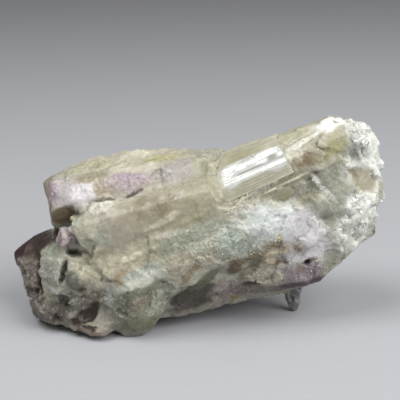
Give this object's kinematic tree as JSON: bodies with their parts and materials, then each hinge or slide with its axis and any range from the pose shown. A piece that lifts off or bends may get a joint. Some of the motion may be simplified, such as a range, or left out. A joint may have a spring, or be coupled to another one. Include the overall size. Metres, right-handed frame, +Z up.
{
  "type": "hackmanite specimen",
  "caption": "Rough hand specimen: pale olive prismatic crystals set nearly parallel in granular lilac and white hackmanite, with a glittering broken end.",
  "frame": {"origin": "under the middle of the stone's box, on the surface that it rests on", "axes": "+Z up, +X along the stone's length towards the glittering broken end, -Y towards the side with the striated crystal"},
  "size_m": [0.0806, 0.0334, 0.046],
  "materials": {
    "stone": "natural broken surface, glassy on the crystals and granular between them"
  },
  "bodies": {
    "root": {"hackmanite_rough": "stone"}
  },
  "joints": []
}
